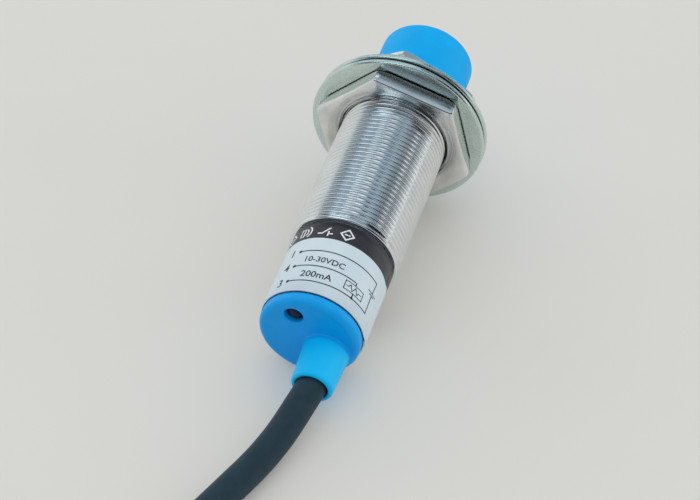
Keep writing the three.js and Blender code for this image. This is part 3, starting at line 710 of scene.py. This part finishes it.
class Print:
    """Ink on the label. A place is (angle in degrees, station in millimetres)."""

    def __init__(self):
        self.builder = Builder()

    def lay(self, flat):
        """Flat points (millimetres round the label, station), laid on the label."""
        flat = np.asarray(flat, float)
        radius = LABEL_RADIUS + INK_LIFT
        return self.builder.add(in_row(on_axis(flat[:, 1], radius, flat[:, 0] / LABEL_RADIUS)))

    @staticmethod
    def flat(place):
        return np.array([math.radians(place[0]) * LABEL_RADIUS, place[1]])

    def line(self, places, width=0.2):
        """A ruled line through places."""
        self.stroke([self.flat(place) for place in places], width)

    def stroke(self, points, width):
        """A line of a width through flat points, divided so that it follows the label's curve."""
        for start, end in zip(points, points[1:]):
            start, end = np.asarray(start, float), np.asarray(end, float)
            length = np.linalg.norm(end - start)
            ahead = (end - start) / length
            aside = np.array([-ahead[1], ahead[0]]) * width / 2
            start, end = start - ahead * width / 2, end + ahead * width / 2
            steps = max(1, int(length / 0.5))
            middle = [start + (end - start) * i / steps for i in range(steps + 1)]
            left = self.lay([m + aside for m in middle])
            right = self.lay([m - aside for m in middle])
            self.builder.bridge(left, right, closed=False)

    def dot(self, place, radius):
        """A round dot about a place."""
        centre = self.flat(place)
        rim = [centre + radius * np.array([math.cos(a), math.sin(a)]) for a in even_angles(20)]
        self.builder.bridge(self.lay([centre]), self.lay(rim))

    def text(self, words, place, height, bolder=0.02):
        """Words whose lower left corner is at a place."""
        curve = bpy.data.curves.new("words", "FONT")
        curve.body = words
        curve.size = height / 0.7
        curve.offset = bolder
        curve.resolution_u = 3
        holder = bpy.data.objects.new("words", curve)
        bpy.context.scene.collection.objects.link(holder)
        bpy.context.view_layer.update()
        mesh = holder.to_mesh()
        shape = bmesh.new()
        shape.from_mesh(mesh)
        bmesh.ops.triangulate(shape, faces=shape.faces)
        long_edges = [e for e in shape.edges if e.calc_length() > LONGEST_INK_EDGE]
        bmesh.ops.subdivide_edges(shape, edges=long_edges, cuts=2)
        bmesh.ops.triangulate(shape, faces=shape.faces)
        shape.verts.ensure_lookup_table()
        origin = self.flat(place)
        numbers = self.lay([origin + np.array(v.co[:2]) for v in shape.verts])
        for face in shape.faces:
            self.builder.face(*[numbers[v.index] for v in face.verts])
        shape.free()
        holder.to_mesh_clear()
        bpy.data.objects.remove(holder)
        bpy.data.curves.remove(curve)

    def make(self, name, material):
        return self.builder.make(name, [material], sharp=None)


LINE_STATIONS = (8.5, 5.35, 2.15)  # the diagram's three conductors
WIRE_MARKS = ("1", "4", "3")
BAND_MIDDLE = 12.95
SYMBOL_SIZE = 1.12
SYMBOL_ANGLES = (8, 32, 56, 80, 104)


def print_diagram():
    """The wiring diagram: three conductors, a load, a supply and generic ratings."""
    top, middle, low = LINE_STATIONS
    made = Print()
    made.line([(60, top), (100, top + 0.15), (159, top + 0.25)])
    made.line([(159, top + 0.25), (158, 6.45)])
    made.line([(150.5, 6.4), (165.5, 6.5)], 0.16)
    made.line([(154, 6.0), (162, 6.05)], 0.2)
    made.line([(158, 6.0), (158.6, low + 0.3)])
    made.line([(60, middle), (131.5, middle + 0.05)])
    made.line([(133.5, middle + 0.05), (133.5, 4.85)])
    made.line([(121.3, 4.85), (146, 4.8), (146.3, 3.2), (121.3, 3.2), (121.3, 4.85)], 0.15)
    made.line([(133.8, 3.2), (133.9, low + 0.25)])
    made.line([(60, low), (100, low + 0.05), (158.6, low + 0.3)])
    for station in LINE_STATIONS:
        made.dot((60, station), 0.3)
    made.dot((133.9, low + 0.25), 0.24)
    zigzag = [(123.5, 4.0), (126.5, 4.0), (128.2, 4.5), (131.6, 3.5), (135, 4.5), (138.4, 3.5)]
    made.line([*zigzag, (140.2, 4.0), (143.8, 4.0)], 0.15)
    made.text("10-30VDC", (68.5, 6.25), 1.08)
    made.text("200mA", (72, 3.05), 1.2)
    for mark, station in zip(WIRE_MARKS, LINE_STATIONS):
        made.text(mark, (46, station - 0.75), 1.5, 0.03)
    return made.make("label_diagram", ink_grey)


def print_marks():
    """Three white symbols on the black band: a field, a switch contact and a sensor."""
    made = Print()

    def mark(angle, strokes, width=0.26):
        centre = Print.flat((angle, BAND_MIDDLE))
        for stroke in strokes:
            made.stroke([centre + SYMBOL_SIZE * np.array(p, float) for p in stroke], width)

    def arc(x, y, radius, start, end):
        turns = [math.radians(start + (end - start) * i / 8) for i in range(9)]
        return [(x + radius * math.cos(t), y + radius * math.sin(t)) for t in turns]

    field = [
        [(-0.95, -0.7), (-0.95, 0.7), (-0.35, 0.7), (-0.35, -0.7), (-0.95, -0.7)],
        arc(-0.35, 0, 0.65, -50, 50),
        arc(-0.35, 0, 1.2, -48, 48),
    ]
    contact = [
        [(-1.0, -0.5), (-0.45, -0.5)],
        [(-0.45, -0.5), (0.5, 0.55)],
        [(0.45, -0.5), (1.0, -0.5)],
        [(0.45, -0.85), (0.45, -0.15)],
    ]
    sensor = [
        [(0, 0.95), (0.95, 0), (0, -0.95), (-0.95, 0), (0, 0.95)],
        [(-0.3, 0), (0.3, 0)],
    ]
    for angle, strokes in zip(SYMBOL_ANGLES, (contact, sensor, field, contact, sensor)):
        mark(angle, strokes)
    return made.make("label_symbols", ink_white)


# ---- Rear cap and lamp ----

BOOT_EDGE = 0.55
BOOT_BLEND = 0.3  # where the boot grows out of the flange
BOOT_MOUTH_EDGE = 0.35
CAP_SEAM_EDGE = 0.08
LED_HOLE_EDGE = 0.2
PLUG_OVERLAP = 0.3  # how far the plug reaches back into the flange
CAP_MARGIN = 0.4  # of the grid round the cap
SURFACE_STEPS = 6


def surface_of(distance, low, high, cell):
    """Corners and faces of the surface where a signed distance is nought.

    Each cell of the grid that the surface crosses holds one corner, which is then moved down the
    slope onto the surface. Each pair of neighbouring grid points on either side of it makes a face.
    """
    axes = [np.arange(a, b + cell, cell) for a, b in zip(low, high)]
    grid = np.stack(np.meshgrid(*axes, indexing="ij"), axis=-1)
    inside = distance(grid) < 0
    cells = [n - 1 for n in inside.shape]
    shifts = [(a, b, c) for a in (0, 1) for b in (0, 1) for c in (0, 1)]
    total = sum(
        inside[a : a + cells[0], b : b + cells[1], c : c + cells[2]].astype(int) for a, b, c in shifts
    )
    mixed = (total > 0) & (total < 8)
    number = np.full(mixed.shape, -1)
    number[mixed] = np.arange(mixed.sum())
    where = np.argwhere(mixed)
    points = np.array(low) + (where + 0.5) * cell
    for _ in range(SURFACE_STEPS):
        value = distance(points)
        slope = gradient_of(distance, points)
        length = np.maximum((slope**2).sum(-1, keepdims=True), 1e-3)
        points = points - 0.8 * slope * value[..., None] / length
    faces = []
    for axis in range(3):
        ahead = np.diff(inside.astype(int), axis=axis)
        u, v = (axis + 1) % 3, (axis + 2) % 3
        for place in np.argwhere(ahead != 0):
            if place[u] == 0 or place[v] == 0 or place[u] >= cells[u] or place[v] >= cells[v]:
                continue
            corners = []
            for du, dv in ((0, 0), (1, 0), (1, 1), (0, 1)):
                at = place.copy()
                at[u] -= du
                at[v] -= dv
                corners.append(number[tuple(at)])
            faces.append(corners)
    return points, faces


def gradient_of(distance, points, step=0.01):
    """The slope of a distance at each point."""
    parts = []
    for axis in range(3):
        shift = np.zeros(3)
        shift[axis] = step
        parts.append((distance(points + shift) - distance(points - shift)) / (2 * step))
    return np.stack(parts, axis=-1)


def smooth_min(first, second, size):
    share = np.clip(0.5 + 0.5 * (second - first) / size, 0, 1)
    return second + (first - second) * share - size * share * (1 - share)


def smooth_max(first, second, size):
    return -smooth_min(-first, -second, size)


def eased(side, end, size):
    """The distance to a corner of two surfaces, rounded to a size."""
    outside = np.hypot(np.maximum(side + size, 0), np.maximum(end + size, 0))
    return outside + np.minimum(np.maximum(side, end) + size, 0) - size


def cap_distance(points):
    """The signed distance to the moulded cap: flange, plug and boot, less its two holes."""
    x, y, z = points[..., 0], points[..., 1], points[..., 2]
    from_axis = np.hypot(y, z)
    from_boot = np.hypot(y - BOOT_Y, z - BOOT_Z)
    from_lamp = np.hypot(y - LED_Y, z - LED_Z)
    flange = eased(from_axis - CAP_RADIUS, CAP_FACE - x, CAP_EDGE)
    share = (x - BOOT_END) / (CAP_FACE - BOOT_END)
    boot_radius = BOOT_END_RADIUS + (BOOT_BASE_RADIUS - BOOT_END_RADIUS) * share
    boot = eased(from_boot - boot_radius, BOOT_END - x, BOOT_EDGE)
    body = smooth_min(flange, boot, BOOT_BLEND)
    body = smooth_max(body, x - CAP_SEAM, CAP_SEAM_EDGE)
    plug_sides = np.maximum(from_axis - CAP_PLUG_RADIUS, x - CAP_PLUG_FRONT)
    plug = np.maximum(plug_sides, CAP_SEAM - PLUG_OVERLAP - x)
    body = np.minimum(body, plug)
    body = smooth_max(body, BOOT_HOLE_RADIUS - from_boot, BOOT_MOUTH_EDGE)
    return smooth_max(body, LED_HOLE_RADIUS - from_lamp, LED_HOLE_EDGE)


def make_cap():
    """The moulded cap and boot, one piece with a soft blend where they meet."""
    cell = 0.15
    reach = CAP_RADIUS + CAP_MARGIN
    low = (BOOT_END - CAP_MARGIN, -reach, -reach)
    high = (CAP_PLUG_FRONT + CAP_MARGIN, reach, reach)
    points, faces = surface_of(cap_distance, low, high, cell)
    builder = Builder()
    numbers = builder.add(in_row(points))
    for corners in faces:
        builder.face(*[numbers[c] for c in corners])
    return builder.make("cap_and_boot", [cap_plastic], sharp=None)


def make_lamp():
    """The lamp: a shallow dome that looks out of the cap, on its collar."""
    edge = -math.degrees(math.acos(LED_RADIUS / LENS_CURVE))
    builder = Builder()
    profile = [
        *fillet(0, LED_TIP + LENS_CURVE, LENS_CURVE, -90, edge, 12),
        (LED_RADIUS, LED_FLANGE_REAR),
        (LED_FLANGE_RADIUS, LED_FLANGE_REAR),
        (LED_FLANGE_RADIUS, LED_FLANGE_FRONT),
        (0, LED_FLANGE_FRONT),
    ]
    builder.loft(turned_rows(builder, profile, even_angles(48), LED_Y, LED_Z))
    return builder.make("lamp_lens", [lamp_purple])


# ---- Cable ----


def curve_through(points, count=240):
    """A centripetal Catmull-Rom curve, as points spaced evenly along it."""
    points = np.asarray(points, float)
    ends = [2 * points[0] - points[1], *points, 2 * points[-1] - points[-2]]
    samples = [points[0]]
    for i in range(len(points) - 1):
        p0, p1, p2, p3 = ends[i : i + 4]
        gaps = [math.sqrt(np.linalg.norm(b - a)) for a, b in ((p0, p1), (p1, p2), (p2, p3))]
        g0, g1, g2 = gaps
        leave = ((p1 - p0) / g0 - (p2 - p0) / (g0 + g1) + (p2 - p1) / g1) * g1
        arrive = ((p2 - p1) / g1 - (p3 - p1) / (g1 + g2) + (p3 - p2) / g2) * g1
        for k in range(1, 41):
            t = k / 40
            c2 = -3 * p1 + 3 * p2 - 2 * leave - arrive
            c3 = 2 * p1 - 2 * p2 + leave + arrive
            samples.append(p1 + leave * t + c2 * t**2 + c3 * t**3)
    samples = np.array(samples)
    lengths = np.concatenate([[0], np.cumsum(np.linalg.norm(np.diff(samples, axis=0), axis=1))])
    wanted = np.linspace(0, lengths[-1], count + 1)
    return np.stack([np.interp(wanted, lengths, samples[:, k]) for k in range(3)], axis=-1)


def tangents_of(path):
    steps = np.gradient(path, axis=0)
    return steps / np.linalg.norm(steps, axis=1, keepdims=True)


def frames_of(path):
    """Two directions across a path at each of its points, turning as little as they can."""
    tangents = tangents_of(path)
    start = np.zeros(3)
    start[np.argmin(np.abs(tangents[0]))] = 1
    side = np.cross(tangents[0], start)
    normal = np.cross(tangents[0], side / np.linalg.norm(side))
    normals = [normal]
    for before, after in zip(tangents, tangents[1:]):
        turn = Vector(before).rotation_difference(Vector(after))
        normal = np.array(turn @ Vector(normal))
        normals.append(normal)
    normals = np.array(normals)
    return normals, np.cross(tangents, normals)


def tube_rows(builder, path, radius, columns):
    """Rings of corners round a path. The radius may change along it."""
    normals, binormals = frames_of(path)
    angles = even_angles(columns)
    radii = np.broadcast_to(radius, len(path))
    rows = []
    for point, normal, binormal, size in zip(path, normals, binormals, radii):
        ring = point + size * (np.outer(np.cos(angles), normal) + np.outer(np.sin(angles), binormal))
        rows.append(builder.add(ring))
    return rows


def closed_tube(builder, path, radius, columns, ease):
    """A round rod along a path with eased ends."""
    tangents = tangents_of(path)
    first = path[0] - tangents[0] * ease
    last = path[-1] + tangents[-1] * ease
    ring_path = np.concatenate([[first], path, [last]])
    radii = np.full(len(ring_path), radius)
    radii[0] = radii[-1] = radius - ease
    rows = tube_rows(builder, ring_path, radii, columns)
    builder.loft([builder.add([first]), *rows, builder.add([last])])


JACKET_INNER_END = 8.8
JACKET_EDGE = 0.12
WIRE_STEPS = 14  # places along the jacket that a wire is led through
STRAND_TWIST = 1.3  # turns from one end of the bare strands to the other
STRAIGHT_STATIONS = (JACKET_INNER_END, 4.5, 0.0, -4.5, BOOT_END + 1.2)
ON_SURFACE = (  # forward, left, and height above lying flat
    (-77.6, -2.05, 1.5),
    (-82.2, -1.2, 0.65),
    (-86.4, -0.2, 0.15),
    (-90.0, 0.8, 0.0),
    (-93.4, 1.85, 0.0),
    (-97.4, 3.1, 0.0),
    (-101.4, 4.4, 0.0),
    (-105.4, 6.0, 0.0),
)


def cable_path():
    """The cable's centre line, from inside the barrel out through the boot to its cut end."""
    straight = [in_row((station, BOOT_Y, BOOT_Z)) for station in STRAIGHT_STATIONS]
    lying = [(x, y, FLOOR + CABLE_RADIUS + lift) for x, y, lift in ON_SURFACE]
    return curve_through([*straight, *lying])


def make_jacket(path):
    """The black jacket, a tube with a softly cut end."""
    builder = Builder()
    tangent = tangents_of(path)[-1]
    outside = np.concatenate([path, [path[-1] + tangent * JACKET_EDGE]])
    outer_radii = np.full(len(outside), CABLE_RADIUS)
    outer_radii[-1] -= JACKET_EDGE
    outer = tube_rows(builder, outside, outer_radii, 64)
    inner = tube_rows(builder, outside, CABLE_HOLE_RADIUS, 64)
    builder.loft([*outer, *inner[::-1]], ring=True)
    return builder.make("cable_sleeve", [jacket_plastic], sharp=50)


def wire_path(path, angle, board_y, free_end):
    """One wire's centre line: from the board, through the jacket and out of its end."""
    under = -(BOARD_THICKNESS / 2 + WIRE_RADIUS + 0.1)
    normals, binormals = frames_of(path)
    step = (len(path) - 1) // WIRE_STEPS
    inside = [
        path[i] + WIRE_PITCH_RADIUS * (math.cos(angle) * normals[i] + math.sin(angle) * binormals[i])
        for i in range(0, len(path), step)
    ]
    start = [in_row((13.8, board_y, under)), in_row((11.8, board_y, under - 0.1))]
    return curve_through([*start, *inside, *free_end[:-1]], 300)


def free_ends(path, spread, lift):
    """Where a wire goes once it leaves the jacket, fanned out from the cable's end."""
    ahead = tangents_of(path)[-1] * np.array([1, 1, 0])
    ahead = ahead / np.linalg.norm(ahead)
    left = np.array([-ahead[1], ahead[0], 0])
    lying = WIRE_RADIUS + 0.05

    def at(distance, aside, height):
        point = path[-1] + ahead * distance + left * aside
        point[2] = FLOOR + height
        return point

    return [
        at(2.6, spread * 0.45, lift),
        at(5.0, spread, WIRE_RADIUS + 0.25),
        at(7.0, spread * 1.4, lying),
        at(10.5, spread * 2.1, lying),
    ]


def make_wire(color, path, degrees, board_y, spread, lift):
    """One insulated wire, and the twisted strands that stick out of its end."""
    ends = free_ends(path, spread, lift)
    centre = wire_path(path, math.radians(degrees), board_y, ends)
    builder = Builder()
    closed_tube(builder, centre, WIRE_RADIUS, 24, 0.06)
    wire = builder.make(f"insulated_{color}", [wire_finishes[color]], sharp=50)

    bend, tip = ends[-2:]
    along = np.linspace(0, 1, 40)[:, None]
    core = bend - (tip - bend) * 0.2 + (tip - bend) * 1.2 * along
    strands = Builder()
    normals, binormals = frames_of(core)
    strand_radius = CONDUCTOR_RADIUS / 3
    closed_tube(strands, core, strand_radius, 8, 0.02)
    for k in range(6):
        turns = 2 * math.pi * (STRAND_TWIST * along + k / 6)
        shift = 2 * strand_radius * (np.cos(turns) * normals + np.sin(turns) * binormals)
        closed_tube(strands, core + shift, strand_radius * 1.03, 8, 0.02)
    strand_piece = strands.make(f"strands_{color}", [tinned_metal], sharp=50)
    return wire, strand_piece


# ---- The pieces on their bodies ----

settle(make_barrel(), "sensor", "barrel_plating", "barrel")
settle(make_nose(), "sensor", "nose_blue", "sensing_nose")
settle(make_label(), "sensor", "label_film", "wrap_label")
settle(print_diagram(), "sensor", "label_film")
settle(print_marks(), "sensor", "label_film")
settle(make_cap(), "sensor", "cap_blue", "rear_cap")
settle(make_lamp(), "sensor", "lamp_epoxy", "indicator_led")
WASHERS = (
    ("near_washer", "rear_washer", REAR_WASHER_STATION, 0.0),
    ("far_washer", "front_washer", FRONT_WASHER_STATION, -0.15),
)
for name, node_name, station, aside in WASHERS:
    settle(make_washer(name, station, aside), node_name, "washer_plating", node_name)
NUTS = (
    ("near_nut", "rear_nut", REAR_NUT_STATION, REAR_NUT_TURN),
    ("far_nut", "front_nut", FRONT_NUT_STATION, FRONT_NUT_TURN),
)
for name, node_name, station, turn in NUTS:
    settle(make_nut(name, station, turn), node_name, "nut_plating", node_name)

centre_line = cable_path()
settle(make_jacket(centre_line), "sensor", "jacket_black", "cable_jacket")
WIRES = (  # colour, angle in the cable, place on the board, fan, rise
    ("brown", 210, -0.9, -2.4, 1.8),
    ("blue", 90, -2.85, 0.0, 2.8),
    ("black", 330, -4.8, 2.4, 1.8),
)
for color, degrees, board_y, spread, lift in WIRES:
    wire, strands = make_wire(color, centre_line, degrees, board_y, spread, lift)
    settle(wire, "sensor", f"wire_{color}", f"wire_{color}")
    settle(strands, "sensor", "tinned_metal", f"conductor_{color}")

# ---- Floor, light and camera ----

FLOOR_REACH = 3000.0


def make_floor():
    """A plain pale surface under the object, with a little light of its own to soften its shadows."""
    finish = Finish("pale_floor", roughness=0.55)
    cloud = finish.noise(60.0, 2.0)
    finish.set(
        Base_Color=finish.ramp(cloud, (0.3, tone(194, 193, 188)), (0.7, tone(197, 196, 191))),
        Emission_Color=(0.8, 0.8, 0.77),
        Emission_Strength=0.2,
    )
    builder = Builder()
    sides = ((-1, -1), (1, -1), (1, 1), (-1, 1))
    corners = [(x * FLOOR_REACH, y * FLOOR_REACH, FLOOR) for x, y in sides]
    builder.face(*builder.add(corners))
    builder.make("floor", [finish.material])


class Sky(Nodes):
    """The studio all round, made of masks and colours by direction."""

    def __init__(self):
        world = bpy.data.worlds.new("studio")
        bpy.context.scene.world = world
        world.use_nodes = True
        world.cycles.sampling_method = "NONE"
        super().__init__(world.node_tree)
        self.way = self.node("ShaderNodeTexCoord").outputs["Generated"]
        self.x, self.y, self.z = self.node("ShaderNodeSeparateXYZ", {0: self.way}).outputs

    def between(self, value, low, high):
        """A mask that rises from 0 to 1 as a value goes from low to high."""
        inputs = {"Value": value, "From Min": low, "From Max": high}
        made = self.node("ShaderNodeMapRange", inputs, interpolation_type="SMOOTHSTEP")
        return made.outputs["Result"]

    def both(self, first, second):
        return self.node("ShaderNodeMath", {0: first, 1: second}, operation="MULTIPLY").outputs[0]

    def spot(self, direction, reach, fade):
        """A round mask, full for reach degrees about a direction and gone fade degrees further."""
        outer, inner = (math.cos(math.radians(angle)) for angle in (reach + fade, reach))
        return self.between(self.along(self.way, pointing(*direction)), outer, inner)


def pointing(heading, elevation):
    """A unit vector from a heading (from +X towards +Y) and an elevation, in degrees."""
    turn, rise = math.radians(heading), math.radians(elevation)
    return (math.cos(turn) * math.cos(rise), math.sin(turn) * math.cos(rise), math.sin(rise))


LAMP = (1.0, 1.06, 1.08)
WINDOW = (0.85, 0.88, 0.88)
DARK = (0.01, 0.012, 0.014)
ROOM_SPOTS = (  # direction, reach, fade, colour, each over the last
    ((-90, 62), 18, 12, (0.46, 0.58, 0.66)),
    ((46, 30), 4, 5, LAMP),
    ((38, 43), 4, 5, LAMP),
    ((20, 54), 4, 5, LAMP),
    ((-4, 56), 4, 5, LAMP),
    ((-92, 32), 22, 4, DARK),
    ((-78, 18), 12, 4, DARK),
    ((-56, 27), 3, 4, WINDOW),
    ((-56, 12), 3, 4, WINDOW),
    ((-24, 49), 4, 2, (0.02, 0.016, 0.02)),
    ((-160, 40), 8, 6, (0.3, 0.37, 0.42)),
    ((150, 56), 16, 6, (1.3, 1.6, 1.75)),
)


def mirrored_room(sky):
    """What the bright metal sees: pale low down in front and on the left, dark behind, blue above.

    The thread mirrors an arc of directions, from (75, 20) on the barrel's left over (0, 65) to
    (-60, 12) on its right. Small lamps beside that arc light its crests, and a dark wall on the
    right blackens the grooves there. The rear nut's upper flat sees (-24, 49), and its countersink
    sees (150, 56).
    """
    low = sky.mix(sky.between(sky.x, -0.5, -0.1), (0.14, 0.17, 0.2), (0.95, 0.98, 0.98))
    middle = sky.mix(sky.between(sky.x, -0.3, -0.05), (0.04, 0.035, 0.045), (0.28, 0.36, 0.42))
    seen = sky.mix(sky.between(sky.z, 0.14, 0.24), low, middle)
    left = sky.both(sky.between(sky.y, 0.6, 0.8), sky.between(sky.z, 0.5, 0.42))
    seen = sky.mix(left, seen, (0.72, 0.76, 0.76))
    seen = sky.mix(sky.between(sky.z, 0.62, 0.74), seen, (0.32, 0.42, 0.5))
    for direction, reach, fade, color in ROOM_SPOTS:
        seen = sky.mix(sky.spot(direction, reach, fade), seen, color)
    return seen


def matt_light(sky):
    """What lights the matt surfaces: even white, dimmer from behind and brighter low in front."""
    front = sky.between(sky.x, -0.9, 0.3)
    matt = sky.mix(front, (0.6, 0.64, 0.68), (0.93, 0.93, 0.92))
    rim = sky.both(sky.between(sky.x, -0.4, 0.1), sky.between(sky.z, 0.6, 0.2))
    return sky.mix(rim, matt, (1.7, 1.68, 1.64))


def make_world():
    """The studio as light paths see it: plain to the camera, soft on matt, a room in the metal."""
    sky = Sky()
    seen = mirrored_room(sky)
    matt = matt_light(sky)
    rays = sky.node("ShaderNodeLightPath").outputs
    light = sky.mix(rays["Is Glossy Ray"], matt, seen)
    backdrop = sky.mix(rays["Is Camera Ray"], light, tone(212, 212, 208))
    sky.put(sky.tree.nodes["Background"].inputs["Color"], backdrop)


OBJECT_MIDDLE = (-45, 0, 0)


def make_light(name, heading, elevation, distance, size, power):
    """A soft square light, aimed at the object's middle from a heading and an elevation in degrees."""
    data = bpy.data.lights.new(name, "AREA")
    data.size = size
    data.energy = power
    light = bpy.data.objects.new(name, data)
    bpy.context.scene.collection.objects.link(light)
    away = Vector(pointing(heading, elevation))
    light.location = Vector(OBJECT_MIDDLE) * MM + away * distance
    light.rotation_mode = "QUATERNION"
    light.rotation_quaternion = away.to_track_quat("Z", "Y")
    light.visible_glossy = False


CAMERA_AIM = (-45.20, 0.0, -8.58)  # a point in the barrel's mid plane, on the line of sight
CAMERA_DISTANCE = 285.77
CAMERA_HEADING = 17.41  # degrees from +X towards +Y
CAMERA_ELEVATION = 37.87  # of the camera above the object
CAMERA_ROLL = 0.08
CAMERA_LENS = 91.96


def make_camera():
    """The camera, looking forward and down from behind the cable."""
    data = bpy.data.cameras.new("camera")
    data.lens = CAMERA_LENS
    data.sensor_width = 36
    data.clip_start = 0.005
    data.clip_end = 20
    camera = bpy.data.objects.new("camera", data)
    bpy.context.scene.collection.objects.link(camera)
    look = Vector(pointing(CAMERA_HEADING, -CAMERA_ELEVATION))
    camera.location = (Vector(CAMERA_AIM) - look * CAMERA_DISTANCE) * MM
    camera.rotation_mode = "QUATERNION"
    roll = Quaternion((0, 0, 1), math.radians(CAMERA_ROLL))
    camera.rotation_quaternion = look.to_track_quat("-Z", "Y") @ roll
    bpy.context.scene.camera = camera


make_floor()
make_world()
make_light("key", 180, 80, distance=0.8, size=0.6, power=0.4)
make_camera()
bpy.context.scene.view_settings.view_transform = "Standard"
